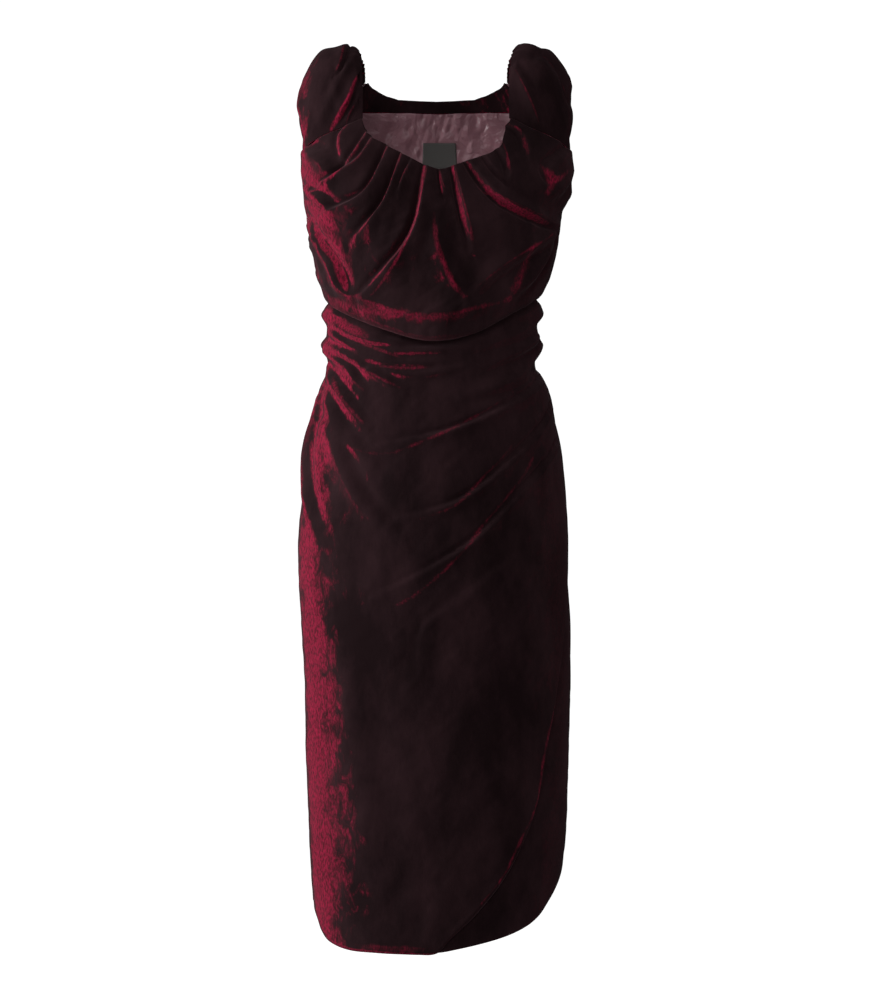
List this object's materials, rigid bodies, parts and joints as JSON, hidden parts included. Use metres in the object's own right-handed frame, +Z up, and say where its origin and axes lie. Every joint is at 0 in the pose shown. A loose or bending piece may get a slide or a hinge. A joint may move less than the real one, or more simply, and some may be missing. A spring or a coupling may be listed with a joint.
{
  "type": "midi dress",
  "caption": "Hollow midi dress in draped pile cloth: scoop neck with radiating pleats, gathered cap shoulders, blousing bodice, ruched waist, wrapped pencil skirt with a curved free edge",
  "frame": {"origin": "middle of the body's upright axis, just under the tops of the shoulders", "axes": "+Z up along the dress, +X to its viewer's right, the front faces -Y"},
  "size_m": [0.3614, 0.2621, 1.1671],
  "materials": {
    "velvet": "crushed pile with a directional sheen",
    "satin_lining": "soft satin",
    "woven_label": "plain weave"
  },
  "bodies": {
    "root": {"bodice_front": "velvet", "bodice_back": "velvet", "shoulder_left": "velvet", "shoulder_right": "velvet", "skirt_front": "velvet", "skirt_back": "velvet", "neck_band": "velvet", "back_lining": "satin_lining", "label": "woven_label"}
  },
  "joints": []
}
